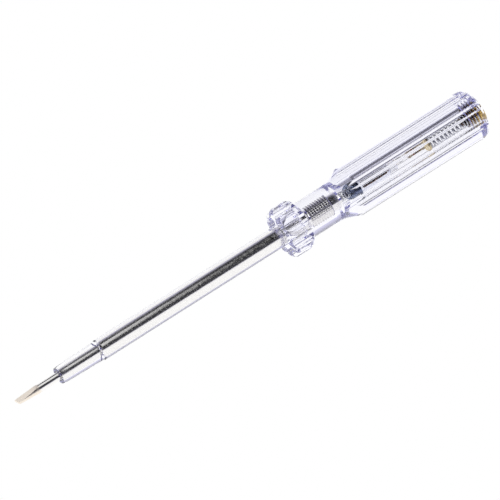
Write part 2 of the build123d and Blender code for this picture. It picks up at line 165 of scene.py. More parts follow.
# %% Clear mouldings
ACRYLIC_IOR = 1.49
DYE = "#9492D2"
SCUFF_ROUGHNESS = 0.06
END_FACE_LEAN = 0.5  # a normal that leans this far along the tool belongs to an end face


def clear_moulding(name, density, wave_size, wave_height, scuff_size, wet_radius, wet_end):
    """Clear plastic that grips the steel inside wet_radius, up to the place wet_end."""
    material, tree, output = new_material(name)
    place = object_place(tree)
    wave = add_node(
        tree,
        "ShaderNodeTexNoise",
        {"Vector": place.point, "Scale": 1 / wave_size, "Detail": 2.0, "Roughness": 0.5},
    )
    bump = add_node(
        tree, "ShaderNodeBump", {"Height": wave.outputs["Fac"], "Strength": 1.0, "Distance": wave_height}
    )
    scuff = add_node(
        tree,
        "ShaderNodeTexNoise",
        {"Vector": place.point, "Scale": 1 / scuff_size, "Detail": 4.0, "Roughness": 0.7},
    )
    haze = add_node(
        tree,
        "ShaderNodeMapRange",
        {"Value": scuff.outputs["Fac"], "From Min": 0.5, "From Max": 0.8, "To Max": SCUFF_ROUGHNESS},
    )
    shader = add_node(
        tree,
        "ShaderNodeBsdfPrincipled",
        {
            "Base Color": linear("#FFFFFF"),
            "Roughness": haze.outputs["Result"],
            "IOR": ACRYLIC_IOR,
            "Transmission Weight": 1.0,
            "Normal": bump.outputs["Normal"],
        },
    )
    facing = add_node(tree, "ShaderNodeNewGeometry").outputs["True Normal"]
    lengthwise = add_node(tree, "ShaderNodeSeparateXYZ", {"Vector": facing}).outputs["X"]
    lean = add_node(tree, "ShaderNodeMath", {0: lengthwise}, operation="ABSOLUTE")
    wall = add_node(tree, "ShaderNodeMath", {0: lean.outputs[0], 1: END_FACE_LEAN}, operation="LESS_THAN")
    inner = add_node(tree, "ShaderNodeMath", {0: place.radius, 1: wet_radius}, operation="LESS_THAN")
    front = add_node(tree, "ShaderNodeMath", {0: place.along, 1: wet_end}, operation="LESS_THAN")
    bore = add_node(tree, "ShaderNodeMath", {0: wall.outputs[0], 1: inner.outputs[0]}, operation="MULTIPLY")
    wet = add_node(tree, "ShaderNodeMath", {0: bore.outputs[0], 1: front.outputs[0]}, operation="MULTIPLY")
    contact = add_node(tree, "ShaderNodeBsdfTransparent", {"Color": (1, 1, 1, 1)})
    surface = add_node(
        tree,
        "ShaderNodeMixShader",
        {0: wet.outputs[0], 1: shader.outputs["BSDF"], 2: contact.outputs["BSDF"]},
    )
    dye = add_node(tree, "ShaderNodeVolumeAbsorption", {"Color": linear(DYE), "Density": density})
    tree.links.new(surface.outputs["Shader"], output.inputs["Surface"])
    tree.links.new(dye.outputs["Volume"], output.inputs["Volume"])
    return material


acrylic = clear_moulding(
    "moulded_acrylic",
    density=14.0,
    wave_size=5 * MM,
    wave_height=0.012 * MM,
    scuff_size=0.6 * MM,
    wet_radius=2.7 * MM,
    wet_end=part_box("front_spring")[0][0] - 1 * MM,
)
finish_nodes(acrylic, "handle")

# %% [markdown]
# The insulating sleeve is a clear plastic tube shrunk on to the rod. It touches the steel along its whole
# bore, so its bore is let through unbent in the same way. The tube came out of a die, not out of a
# mould, and its surface is a little more wavy.

# %% Shrunk sleeve
tube = clear_moulding(
    "shrunk_clear_tube",
    density=6.0,
    wave_size=3 * MM,
    wave_height=0.012 * MM,
    scuff_size=0.5 * MM,
    wet_radius=2.2 * MM,
    wet_end=sleeve_high[0] + 1 * MM,
)
finish_nodes(tube, "insulating_sleeve")

# %% [markdown]
# The blade shaft is one bar of steel with bright nickel plating. Drawing the bar left fine lines along
# it, and plating rounds them off. The blade was ground flat after forging, which left marks across it.
# Real lines and marks are a few hundredths of a millimetre wide. Here they are 0.25 and 0.12 mm wide, so
# that they break up the reflections as they do to the eye.
#
# Both patterns are a noise that is stretched one way. They change over where the grinding ends.

# %% Lines and marks of the steel
DRAWN_LINE = (3 * MM, 0.25 * MM, 0.25 * MM)
GROUND_MARK = (0.12 * MM, 2 * MM, 2 * MM)
GROUND_UP_TO, PLAIN_FROM = station(8.2), station(9.2)
steel, steel_tree, steel_output = new_material("nickel_plated_steel")
on_steel = object_place(steel_tree)
drawn_way = add_node(
    steel_tree,
    "ShaderNodeMapping",
    {"Vector": on_steel.point, "Scale": [1 / length for length in DRAWN_LINE]},
)
drawn = add_node(
    steel_tree, "ShaderNodeTexNoise", {"Vector": drawn_way.outputs["Vector"], "Scale": 1.0, "Detail": 3.0}
)
ground_way = add_node(
    steel_tree,
    "ShaderNodeMapping",
    {"Vector": on_steel.point, "Scale": [1 / length for length in GROUND_MARK]},
)
ground = add_node(
    steel_tree, "ShaderNodeTexNoise", {"Vector": ground_way.outputs["Vector"], "Scale": 1.0, "Detail": 2.0}
)
on_blade = add_node(
    steel_tree,
    "ShaderNodeMapRange",
    {"Value": on_steel.along, "From Min": PLAIN_FROM, "From Max": GROUND_UP_TO},
)
marks = add_node(
    steel_tree,
    "ShaderNodeMix",
    {"Factor": on_blade.outputs["Result"], "A": drawn.outputs["Fac"], "B": ground.outputs["Fac"]},
    data_type="FLOAT",
)
steel_bump = add_node(
    steel_tree,
    "ShaderNodeBump",
    {"Height": marks.outputs["Result"], "Strength": 0.6, "Distance": 0.008 * MM},
)
print("drawn lines are", DRAWN_LINE[1] / MM, "mm wide, and grinding marks", GROUND_MARK[0] / MM, "mm wide")

# %% [markdown]
# The plating is bright, but it isn't even: in patches its grain is coarser, which looks paler and duller,
# and between them it is smooth and a little greyer. A fine noise picks the patches, and sets both the
# colour and the roughness. The ground faces of the blade are warmer and duller.

# %% Plating of the steel
SMOOTH_PLATING, GRAINY_PLATING, GROUND_FACE = "#E2E0DE", "#FAF9F7", "#F2E8DA"
PLATING_ROUGHNESS = (0.08, 0.24)
GROUND_ROUGHNESS = 0.34
plating_grain = add_node(
    steel_tree,
    "ShaderNodeTexNoise",
    {"Vector": on_steel.point, "Scale": 1 / (0.9 * MM), "Detail": 5.0, "Roughness": 0.75},
)
plating = add_node(
    steel_tree,
    "ShaderNodeMix",
    {"Factor": plating_grain.outputs["Fac"], "A": linear(SMOOTH_PLATING), "B": linear(GRAINY_PLATING)},
    data_type="RGBA",
)
bar_colour = add_node(
    steel_tree,
    "ShaderNodeMix",
    {"Factor": on_blade.outputs["Result"], "A": plating.outputs["Result"], "B": linear(GROUND_FACE)},
    data_type="RGBA",
)
plating_dull = add_node(
    steel_tree,
    "ShaderNodeMapRange",
    {
        "Value": plating_grain.outputs["Fac"],
        "From Min": 0.3,
        "From Max": 0.7,
        "To Min": PLATING_ROUGHNESS[0],
        "To Max": PLATING_ROUGHNESS[1],
    },
)
steel_dull = add_node(
    steel_tree,
    "ShaderNodeMix",
    {"Factor": on_blade.outputs["Result"], "A": plating_dull.outputs["Result"], "B": GROUND_ROUGHNESS},
    data_type="FLOAT",
)
print("the plating's roughness runs from", *PLATING_ROUGHNESS, "and the ground blade's is", GROUND_ROUGHNESS)

# %% [markdown]
# The knurl was rolled into the bar before plating. The roots of its teeth are painted a little greyer than
# their points, which is painted shade in the recesses. The plating also rounds the points and fills the
# corners, so light sees shallower teeth than the CAD model's: the shading normal of the knurl is turned most
# of the way outward, to that of a plain round bar.

# %% Plating and painted root shade of the knurl
KNURL_FRONT, KNURL_BACK, KNURL_TIP = station(119.3), station(128.0), 2.5 * MM
ROOT_SHADE_UP_TO, UNSHADED_FROM = KNURL_TIP - 0.22 * MM, KNURL_TIP - 0.1 * MM
# Painted shade in the recesses of the knurl: a greyer colour for the roots of its teeth
PAINTED_ROOT_SHADE = "#DEDCDA"
KNURL_ROUNDING = 0.7
past_front = add_node(
    steel_tree, "ShaderNodeMath", {0: on_steel.along, 1: KNURL_FRONT}, operation="GREATER_THAN"
)
before_back = add_node(
    steel_tree, "ShaderNodeMath", {0: on_steel.along, 1: KNURL_BACK}, operation="LESS_THAN"
)
on_knurl = add_node(
    steel_tree, "ShaderNodeMath", {0: past_front.outputs[0], 1: before_back.outputs[0]}, operation="MULTIPLY"
)
# Painted shade: below these radii the roots of the teeth are painted greyer
out_of_root_shade = add_node(
    steel_tree,
    "ShaderNodeMapRange",
    {"Value": on_steel.radius, "From Min": ROOT_SHADE_UP_TO, "From Max": UNSHADED_FROM},
)
shaded_root = add_node(
    steel_tree,
    "ShaderNodeMath",
    {0: on_knurl.outputs[0], 1: out_of_root_shade.outputs["Result"]},
    operation="SUBTRACT",
    use_clamp=True,
)
steel_colour = add_node(
    steel_tree,
    "ShaderNodeMix",
    {"Factor": shaded_root.outputs[0], "A": bar_colour.outputs["Result"], "B": linear(PAINTED_ROOT_SHADE)},
    data_type="RGBA",
)
outward = add_node(steel_tree, "ShaderNodeVectorMath", {0: on_steel.across}, operation="NORMALIZE")
rounding = add_node(
    steel_tree, "ShaderNodeMath", {0: on_knurl.outputs[0], 1: KNURL_ROUNDING}, operation="MULTIPLY"
)
shallow = add_node(
    steel_tree,
    "ShaderNodeMix",
    {"Factor": rounding.outputs[0], "A": steel_bump.outputs["Normal"], "B": outward.outputs["Vector"]},
    data_type="VECTOR",
)
shading = add_node(
    steel_tree, "ShaderNodeVectorMath", {0: shallow.outputs["Result"]}, operation="NORMALIZE"
)
steel_shader = add_node(
    steel_tree,
    "ShaderNodeBsdfPrincipled",
    {
        "Base Color": steel_colour.outputs["Result"],
        "Metallic": 1.0,
        "Roughness": steel_dull.outputs["Result"],
        "Normal": shading.outputs["Vector"],
    },
)
steel_tree.links.new(steel_shader.outputs["BSDF"], steel_output.inputs["Surface"])
finish_nodes(steel, "blade_shaft")

# %% [markdown]
# The small metal parts share one recipe: a clean colour, a tarnished colour that a noise brings out in
# patches, a range of roughness that follows the patches, and a bump for the part's own grain, which is
# drawn as coarse as it needs to show.

# %% Recipe for the small metal parts


def small_metal(name, colours, roughness, sizes):
    """Metal from clean to tarnished. The sizes, in mm, are a patch's, a grain's and the grain's height."""
    patch_size, grain_size, grain_height = (size * MM for size in sizes)
    material, tree, output = new_material(name)
    point = add_node(tree, "ShaderNodeTexCoord").outputs["Object"]
    patch = add_node(
        tree,
        "ShaderNodeTexNoise",
        {"Vector": point, "Scale": 1 / patch_size, "Detail": 4.0, "Roughness": 0.6},
    )
    spread = add_node(
        tree, "ShaderNodeMapRange", {"Value": patch.outputs["Fac"], "From Min": 0.35, "From Max": 0.65}
    )
    colour = add_node(
        tree,
        "ShaderNodeMix",
        {"Factor": spread.outputs["Result"], "A": linear(colours[0]), "B": linear(colours[1])},
        data_type="RGBA",
    )
    dull = add_node(
        tree,
        "ShaderNodeMapRange",
        {"Value": spread.outputs["Result"], "To Min": roughness[0], "To Max": roughness[1]},
    )
    grain = add_node(
        tree, "ShaderNodeTexNoise", {"Vector": point, "Scale": 1 / grain_size, "Detail": 2.0}
    )
    bump = add_node(
        tree, "ShaderNodeBump", {"Height": grain.outputs["Fac"], "Strength": 0.7, "Distance": grain_height}
    )
    shader = add_node(
        tree,
        "ShaderNodeBsdfPrincipled",
        {
            "Base Color": colour.outputs["Result"],
            "Metallic": 1.0,
            "Roughness": dull.outputs["Result"],
            "Normal": bump.outputs["Normal"],
        },
    )
    tree.links.new(shader.outputs["BSDF"], output.inputs["Surface"])
    return material


print("a small metal part is given as its colours, roughness and sizes")

# %% [markdown]
# Each metal is named for what it is and how it was made. Spring wire is drawn bright and stays pale. The
# lamp's cup is plated steel, coloured a dark blue-grey as painted shade, its electrodes wear a rough brown
# coat, and the wires that pass the glass are reddish copper. Solder freezes grey and uneven. The resistor has
# caps of plain pressed steel and leads with a pale skin of tin, and the washer is stamped from pale sheet
# brass.

# %% Finishes of the small metal parts
SMALL_METALS = {
    "drawn_spring_wire": (("#DADBDD", "#A9AAAE"), (0.12, 0.3), (0.8, 0.15, 0.006)),
    # Painted shade: the lamp's cup is coloured a dark blue-grey that stands for the shade it lies in
    "nickel_cup_painted_shade": (("#7C88A6", "#3A4054"), (0.15, 0.35), (1.2, 0.25, 0.01)),
    "coated_nickel_electrode": (("#7C5240", "#3A2018"), (0.35, 0.6), (0.6, 0.12, 0.02)),
    "copper_clad_wire": (("#C07E5A", "#7A4632"), (0.25, 0.45), (0.7, 0.1, 0.005)),
    "soft_solder": (("#C2C4C8", "#83868C"), (0.2, 0.5), (0.5, 0.2, 0.03)),
    "pressed_steel": (("#C4C4C4", "#8C8C8C"), (0.2, 0.4), (0.6, 0.12, 0.006)),
    "tinned_copper_wire": (("#DEDEDE", "#A6A6A6"), (0.15, 0.35), (0.6, 0.1, 0.005)),
    "stamped_brass": (("#EFE4C2", "#C8B07A"), (0.15, 0.35), (0.8, 0.15, 0.005)),
}
metals = {name: small_metal(name, *values) for name, values in SMALL_METALS.items()}
finish_nodes(metals["drawn_spring_wire"], "front_spring", "rear_spring")
finish_nodes(metals["nickel_cup_painted_shade"], "lamp_cap")
finish_nodes(metals["coated_nickel_electrode"], "lamp_left_electrode", "lamp_right_electrode")
finish_nodes(metals["copper_clad_wire"], "lamp_front_lead", "lamp_rear_lead")
finish_nodes(metals["soft_solder"], "lamp_cap_solder", "lead_joint_solder")
finish_nodes(metals["pressed_steel"], "resistor_front_cap", "resistor_rear_cap")
finish_nodes(metals["tinned_copper_wire"], "resistor_front_lead", "resistor_rear_lead")
finish_nodes(metals["stamped_brass"], "contact_washer")

# %% [markdown]
# The contact cap is turned from brass bar on a lathe, and left bare so that a finger makes contact.
# Fingers keep the outside and the end bright, while the roots of the thread, the slot and the part inside
# the handle turn brown. So the tarnish follows the distance from the axis, the place along it and a noise.

# %% Tarnish of the brass
BRIGHT_END, SLOT_FROM = station(189.6), station(189.3)
INSIDE_UP_TO, OUTSIDE_FROM = station(185.5), station(188.5)
THREAD_ROOT, THREAD_CREST = 3.2 * MM, 3.8 * MM
ROOT_TARNISH, INSIDE_TARNISH = 0.55, 0.3
TARNISH_FROM, TARNISH_FULL = 0.38, 0.9
brass, brass_tree, brass_output = new_material("turned_brass")
on_brass = object_place(brass_tree)
stain = add_node(
    brass_tree,
    "ShaderNodeTexNoise",
    {"Vector": on_brass.point, "Scale": 1 / (1.4 * MM), "Detail": 4.0, "Roughness": 0.65},
)
depth = add_node(
    brass_tree,
    "ShaderNodeMapRange",
    {
        "Value": on_brass.radius,
        "From Min": THREAD_ROOT,
        "From Max": THREAD_CREST,
        "To Min": ROOT_TARNISH,
        "To Max": 0.0,
    },
)
under_end = add_node(
    brass_tree,
    "ShaderNodeMapRange",
    {"Value": on_brass.along, "From Min": BRIGHT_END, "From Max": SLOT_FROM},
)
sheltered = add_node(
    brass_tree,
    "ShaderNodeMapRange",
    {
        "Value": on_brass.along,
        "From Min": INSIDE_UP_TO,
        "From Max": OUTSIDE_FROM,
        "To Min": INSIDE_TARNISH,
        "To Max": 0.0,
    },
)
touched = add_node(
    brass_tree,
    "ShaderNodeMath",
    {0: depth.outputs["Result"], 1: under_end.outputs["Result"], 2: stain.outputs["Fac"]},
    operation="MULTIPLY_ADD",
)
age = add_node(
    brass_tree, "ShaderNodeMath", {0: touched.outputs[0], 1: sheltered.outputs["Result"]}, operation="ADD"
)
tarnish = add_node(
    brass_tree,
    "ShaderNodeMapRange",
    {"Value": age.outputs[0], "From Min": TARNISH_FROM, "From Max": TARNISH_FULL},
)
print("the brass turns brown below a radius of", round(THREAD_CREST / MM, 2), "mm and inside the handle")

# %% [markdown]
# The lathe leaves a ring at each turn of the bar, here every 0.16 mm, so the bump is a wave in bands along
# the tool. The tarnish sets both the colour and the roughness, because stained brass is duller too.

# %% Turned brass
RING_PITCH = 0.16 * MM
WAVE_PERIOD = 2 * math.pi / 20  # a wave texture of scale 1 repeats after this distance
BRIGHT_BRASS, BROWN_BRASS = "#F0C654", "#4A280A"
BRASS_ROUGHNESS = (0.16, 0.45)
rings = add_node(
    brass_tree,
    "ShaderNodeTexWave",
    {"Vector": on_brass.point, "Scale": WAVE_PERIOD / RING_PITCH, "Distortion": 0.4, "Detail": 1.0},
    wave_type="BANDS",
    bands_direction="X",
)
brass_bump = add_node(
    brass_tree, "ShaderNodeBump", {"Height": rings.outputs["Fac"], "Strength": 0.5, "Distance": 0.01 * MM}
)
brass_colour = add_node(
    brass_tree,
    "ShaderNodeMix",
    {"Factor": tarnish.outputs["Result"], "A": linear(BRIGHT_BRASS), "B": linear(BROWN_BRASS)},
    data_type="RGBA",
)
brass_dull = add_node(
    brass_tree,
    "ShaderNodeMapRange",
    {"Value": tarnish.outputs["Result"], "To Min": BRASS_ROUGHNESS[0], "To Max": BRASS_ROUGHNESS[1]},
)
brass_shader = add_node(
    brass_tree,
    "ShaderNodeBsdfPrincipled",
    {
        "Base Color": brass_colour.outputs["Result"],
        "Metallic": 1.0,
        "Roughness": brass_dull.outputs["Result"],
        "Normal": brass_bump.outputs["Normal"],
    },
)
brass_tree.links.new(brass_shader.outputs["BSDF"], brass_output.inputs["Surface"])
finish_nodes(brass, "contact_cap")

# %% [markdown]
# The resistor is a ceramic rod under glossy lacquer, with four painted rings that give its value. The
# rings are one CAD node, so a ramp along the tool gives each ring its colour. The lacquer is dipped: it is
# thick, glossy and slightly uneven. The fired ceramic is the dullest of the three.

# %% Resistor lacquer, rings and core
RING_SPACING = 0.85 * MM
RING_COLOURS = ("#B3261E", "#4A2A1C", "#7A3B1A", "#A88430")
DULLEST, GLOSSIEST = 1.4, 0.6  # shares of a coat's mean roughness
rings_low, rings_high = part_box("resistor_bands")
MIDDLE_RING = (rings_low[0] + rings_high[0]) / 2


def dipped_coat(name, light, dark, roughness, patch_size, wave_size, wave_height, colours=None):
    """Glossy lacquer or paint. Given colours, it has one colour for each ring along the tool."""
    material, tree, output = new_material(name)
    point = add_node(tree, "ShaderNodeTexCoord").outputs["Object"]
    patch = add_node(
        tree, "ShaderNodeTexNoise", {"Vector": point, "Scale": 1 / patch_size, "Detail": 3.0}
    )
    wave = add_node(tree, "ShaderNodeTexNoise", {"Vector": point, "Scale": 1 / wave_size, "Detail": 1.0})
    bump = add_node(
        tree, "ShaderNodeBump", {"Height": wave.outputs["Fac"], "Strength": 0.6, "Distance": wave_height}
    )
    colour = add_node(
        tree,
        "ShaderNodeMix",
        {"Factor": patch.outputs["Fac"], "A": linear(light), "B": linear(dark)},
        data_type="RGBA",
    )
    if colours:
        along = add_node(tree, "ShaderNodeSeparateXYZ", {"Vector": point}).outputs["X"]
        half = RING_SPACING * len(colours) / 2
        where = add_node(
            tree,
            "ShaderNodeMapRange",
            {"Value": along, "From Min": MIDDLE_RING - half, "From Max": MIDDLE_RING + half},
        )
        ramp = add_node(tree, "ShaderNodeValToRGB", {"Fac": where.outputs["Result"]})
        ramp.color_ramp.interpolation = "CONSTANT"
        steps = ramp.color_ramp.elements
        while len(steps) < len(colours):
            steps.new(1.0)
        for number, code in enumerate(colours):
            steps[number].position = number / len(colours)
            steps[number].color = linear(code)
        colour = add_node(
            tree,
            "ShaderNodeMix",
            {"Factor": 1.0, "A": ramp.outputs["Color"], "B": colour.outputs["Result"]},
            data_type="RGBA",
            blend_type="MULTIPLY",
        )
    dull = add_node(
        tree,
        "ShaderNodeMapRange",
        {
            "Value": patch.outputs["Fac"],
            "To Min": roughness * GLOSSIEST,
            "To Max": roughness * DULLEST,
        },
    )
    shader = add_node(
        tree,
        "ShaderNodeBsdfPrincipled",
        {
            "Base Color": colour.outputs["Result"],
            "Roughness": dull.outputs["Result"],
            "Normal": bump.outputs["Normal"],
        },
    )
    tree.links.new(shader.outputs["BSDF"], output.inputs["Surface"])
    return material


lacquer = dipped_coat("dipped_lacquer", "#E2D3B4", "#C9B48C", 0.18, 1.5 * MM, 0.8 * MM, 0.03 * MM)
paint = dipped_coat(
    "ring_paint", "#FFFFFF", "#D8D8D8", 0.25, 0.8 * MM, 0.3 * MM, 0.01 * MM, colours=RING_COLOURS
)
ceramic = dipped_coat("fired_ceramic", "#F0ECE2", "#D9D2C2", 0.5, 0.6 * MM, 0.15 * MM, 0.02 * MM)
finish_nodes(lacquer, "resistor_lacquer")
finish_nodes(paint, "resistor_bands")
finish_nodes(ceramic, "resistor_core")

# %% [markdown]
# The lamp's bulb is drawn soda-lime glass, with an index of refraction of 1.52 and no tint that shows in
# a wall this thin. The glass was pinched shut round the leads while it was soft, which leaves its surface
# gently uneven.

# %% Lamp glass
SODA_GLASS_IOR = 1.52
glass, tree, output = new_material("drawn_soda_glass")
point = add_node(tree, "ShaderNodeTexCoord").outputs["Object"]
wave = add_node(tree, "ShaderNodeTexNoise", {"Vector": point, "Scale": 1 / (2.5 * MM), "Detail": 2.0})
bump = add_node(
    tree, "ShaderNodeBump", {"Height": wave.outputs["Fac"], "Strength": 1.0, "Distance": 0.05 * MM}
)
shader = add_node(
    tree,
    "ShaderNodeBsdfPrincipled",
    {
        "Base Color": linear("#FAFBFF"),
        "Roughness": 0.0,
        "IOR": SODA_GLASS_IOR,
        "Transmission Weight": 1.0,
        "Normal": bump.outputs["Normal"],
    },
)
tree.links.new(shader.outputs["BSDF"], output.inputs["Surface"])
finish_nodes(glass, "lamp_glass")

# %% [markdown]
# A compression spring is wound from straight wire on a rotating arbor, and its last turn at each end is
# closed so that it stands square. The wire's section is a small circle. The Screw modifier winds it round
# the axis as the machine does, with one pitch all along, and then each ring of vertices is shifted along
# the axis so that the end turns lie almost flat. The two ends are filled, as cut wire is.
#
# Each spring stands between two bodies that slide. It replaces the CAD model's spring, which is hidden.

# %% Springs
WIRE_SIDES = 12
STEPS_PER_TURN = 36
CLOSED_TURNS = 2  # one at each end
CLOSED_CLIMB = 1.1  # how many wire thicknesses a closed turn climbs
SMOOTH_BELOW = math.radians(50)


def wind_spring(name, node, coil_radius, wire_radius, open_turns):
    """A closed-ended spring in the place of a CAD node, which stretches between two bodies."""
    front, back = (corner[0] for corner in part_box(node))
    bpy.ops.object.select_all(action="DESELECT")
    bpy.ops.mesh.primitive_circle_add(
        vertices=WIRE_SIDES, radius=wire_radius, location=(front + wire_radius, 0, AXIS_Z)
    )
    spring = bpy.context.object
    spring.name = name
    bpy.ops.object.mode_set(mode="EDIT")
    bpy.ops.mesh.select_all(action="SELECT")
    bpy.ops.transform.translate(value=(0, coil_radius, 0))
    bpy.ops.object.mode_set(mode="OBJECT")
    turns = open_turns + CLOSED_TURNS
    run = back - front - 2 * wire_radius
    winding = spring.modifiers.new("winding", "SCREW")
    winding.axis = "X"
    winding.iterations = turns
    winding.screw_offset = run / turns
    winding.steps = winding.render_steps = STEPS_PER_TURN
    bpy.ops.object.modifier_apply(modifier=winding.name)

    # Close the end turns: the climb is small in the first and last turn, and even between them
    closed_pitch = 2 * wire_radius * CLOSED_CLIMB
    open_pitch = (run - CLOSED_TURNS * closed_pitch) / open_turns
    for vertex in spring.data.vertices:
        turn = vertex.index // WIRE_SIDES / STEPS_PER_TURN
        opened = min(max(turn - 1, 0), open_turns)
        closed = turn - opened
        vertex.co.x += opened * open_pitch + closed * closed_pitch - turn * run / turns

    bpy.ops.object.mode_set(mode="EDIT")
    bpy.ops.mesh.select_all(action="DESELECT")
    bpy.ops.mesh.select_mode(type="EDGE")
    bpy.ops.mesh.select_non_manifold()
    bpy.ops.mesh.edge_face_add()
    bpy.ops.mesh.select_all(action="SELECT")
    bpy.ops.mesh.normals_make_consistent(inside=False)
    bpy.ops.object.mode_set(mode="OBJECT")
    bpy.ops.object.shade_smooth_by_angle(angle=SMOOTH_BELOW)
    bpy.ops.object.transform_apply(location=True, rotation=True, scale=True)
    spring.data.materials.clear()
    spring.data.materials.append(metals["drawn_spring_wire"])
    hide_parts(node)
    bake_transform(spring)
    print(name, "has", turns, "turns and an open pitch of", round(open_pitch / MM, 3), "mm")


wind_spring(
    "front_coil", "front_spring", 1.6 * MM, 0.16 * MM, open_turns=4
)
wind_spring(
    "rear_coil", "rear_spring", 2.5 * MM, 0.25 * MM, open_turns=9
)

# %% [markdown]
# Clear plastic has no colour of its own to speak of, so its look is its surroundings. A studio puts such a
# thing on a white table with a white backdrop, and the room above stays dark. Then its body is bright, and
# every edge and flute, which bends the light up into the room, shows as a dark line. Polished steel shows
# the same table and room as bands.
#
# The table is a large plane. To the camera it glows at the strength of white paper, as a light table
# does, so it takes no shadow. In glass and metal it glows a little stronger, because a photographer
# exposes until such a table is past white. Other light falls on it as on plain paper.

# %% White table
FLOOR_SIZE = 6.0
WHITE, PAST_WHITE = 1.0, 1.14
bpy.ops.object.select_all(action="DESELECT")
bpy.ops.mesh.primitive_plane_add(size=FLOOR_SIZE, location=(0, 0, 0))
floor = bpy.context.object
floor.name = "floor"
paper, tree, output = new_material("white_paper")
path = add_node(tree, "ShaderNodeLightPath")
seen = add_node(
    tree,
    "ShaderNodeMath",
    {0: path.outputs["Is Camera Ray"], 1: path.outputs["Is Transmission Ray"]},
    operation="MAXIMUM",
)
seen = add_node(
    tree, "ShaderNodeMath", {0: seen.outputs[0], 1: path.outputs["Is Glossy Ray"]}, operation="MAXIMUM"
)
diffuse = add_node(tree, "ShaderNodeBsdfDiffuse", {"Color": linear("#F2F2F2")})
strength = add_node(
    tree,
    "ShaderNodeMapRange",
    {"Value": path.outputs["Is Camera Ray"], "To Min": PAST_WHITE, "To Max": WHITE},
)
glow = add_node(
    tree, "ShaderNodeEmission", {"Color": (1, 1, 1, 1), "Strength": strength.outputs["Result"]}
)
mixed = add_node(
    tree, "ShaderNodeMixShader", {0: seen.outputs[0], 1: diffuse.outputs[0], 2: glow.outputs[0]}
)
tree.links.new(mixed.outputs[0], output.inputs["Surface"])
floor.data.materials.append(paper)
print("the table is", FLOOR_SIZE, "m wide and glows at", PAST_WHITE, "in glass and metal")

# %% [markdown]
# The world is the rest of the studio. The camera sees plain white. Everything else sees a dark room above
# the table, and a pale backdrop that fades upwards: high up on the far side, and low on the near side.
#
# A shape that keeps one section along the tool, such as the shaft or a flute, sends every ray on with the
# same lean along the tool, so it only ever sees one slice of the room. That slice is dark grey, which
# gives the flutes their fine grey lines. The two ends of the room are violet, and only the faces that run
# across the tool catch them: the collar, the shoulder and the rounded ends of the lobes.
#
# A direction is a unit vector, so each place in the room is told by the vector's part along the tool, its
# part across the tool and its part upwards.

# %% Directions in the room
SLICE_LEAN = 0.348  # how far the camera's line of sight leans along the tool
SLICE_EDGE, VIOLET_FROM = 0.1, 0.28  # how far from that lean the slice ends, and where the violet is full
NEAR_SIDE, FAR_SIDE = -0.1, 0.4  # parts across the tool
NEAR_REACH, FAR_REACH = 0.12, 0.7  # the part upwards that the backdrop reaches on each side
world = bpy.data.worlds.new("studio")
bpy.context.scene.world = world
world.use_nodes = True
world_tree = world.node_tree
world_tree.nodes.clear()
way = add_node(world_tree, "ShaderNodeTexCoord").outputs["Generated"]
direction = add_node(world_tree, "ShaderNodeSeparateXYZ", {"Vector": way})
reach = add_node(
    world_tree,
    "ShaderNodeMapRange",
    {
        "Value": direction.outputs["Y"],
        "From Min": NEAR_SIDE,
        "From Max": FAR_SIDE,
        "To Min": NEAR_REACH,
        "To Max": FAR_REACH,
    },
)
over_backdrop = add_node(
    world_tree,
    "ShaderNodeMapRange",
    {"Value": direction.outputs["Z"], "From Min": 0.0, "From Max": reach.outputs["Result"]},
)
off_slice = add_node(
    world_tree, "ShaderNodeMath", {0: direction.outputs["X"], 1: SLICE_LEAN}, operation="SUBTRACT"
)
off_slice = add_node(world_tree, "ShaderNodeMath", {0: off_slice.outputs[0]}, operation="ABSOLUTE")
at_end = add_node(
    world_tree,
    "ShaderNodeMapRange",
    {"Value": off_slice.outputs[0], "From Min": SLICE_EDGE, "From Max": VIOLET_FROM},
    interpolation_type="SMOOTHSTEP",
)
print("the dark slice leans", SLICE_LEAN, "along the tool and is", 2 * SLICE_EDGE, "wide")

# %% [markdown]
# Steel has more contrast than plastic, and stays grey. A ray that was mirrored exactly once, as by the
# shaft, therefore sees the room's ends grey and the slice nearly black, which gives the shaft its dark
# band. A ray that a clear moulding only bends, or mirrors again and again, sees the violet and the softer
# grey.

# %% Colours of the room
VIOLET_END, GREY_END = "#5C5AB2", "#84848E"
GREY_SLICE, BLACK_SLICE = "#5C5C64", "#38383C"
BACKDROP = "#E6E4FC"
world_output = add_node(world_tree, "ShaderNodeOutputWorld")
path = add_node(world_tree, "ShaderNodeLightPath")
mirrored_once = add_node(
    world_tree, "ShaderNodeMath", {0: path.outputs["Glossy Depth"], 1: 1.0, 2: 0.5}, operation="COMPARE"
)
end_wall = add_node(
    world_tree,
    "ShaderNodeMix",
    {"Factor": mirrored_once.outputs[0], "A": linear(VIOLET_END), "B": linear(GREY_END)},
    data_type="RGBA",
)
slice_wall = add_node(
    world_tree,
    "ShaderNodeMix",
    {"Factor": mirrored_once.outputs[0], "A": linear(GREY_SLICE), "B": linear(BLACK_SLICE)},
    data_type="RGBA",
)
above = add_node(
    world_tree,
    "ShaderNodeMix",
    {
        "Factor": at_end.outputs["Result"],
        "A": slice_wall.outputs["Result"],
        "B": end_wall.outputs["Result"],
    },
    data_type="RGBA",
)
sky = add_node(
    world_tree,
    "ShaderNodeMix",
    {"Factor": over_backdrop.outputs["Result"], "A": linear(BACKDROP), "B": above.outputs["Result"]},
    data_type="RGBA",
)
room = add_node(world_tree, "ShaderNodeBackground", {"Color": sky.outputs["Result"], "Strength": 1.0})
white = add_node(world_tree, "ShaderNodeBackground", {"Color": (1, 1, 1, 1), "Strength": 1.0})
mixed = add_node(
    world_tree,
    "ShaderNodeMixShader",
    {0: path.outputs["Is Camera Ray"], 1: room.outputs[0], 2: white.outputs[0]},
)
world_tree.links.new(mixed.outputs[0], world_output.inputs["Surface"])
print("the room is made of", len(world_tree.nodes), "nodes")

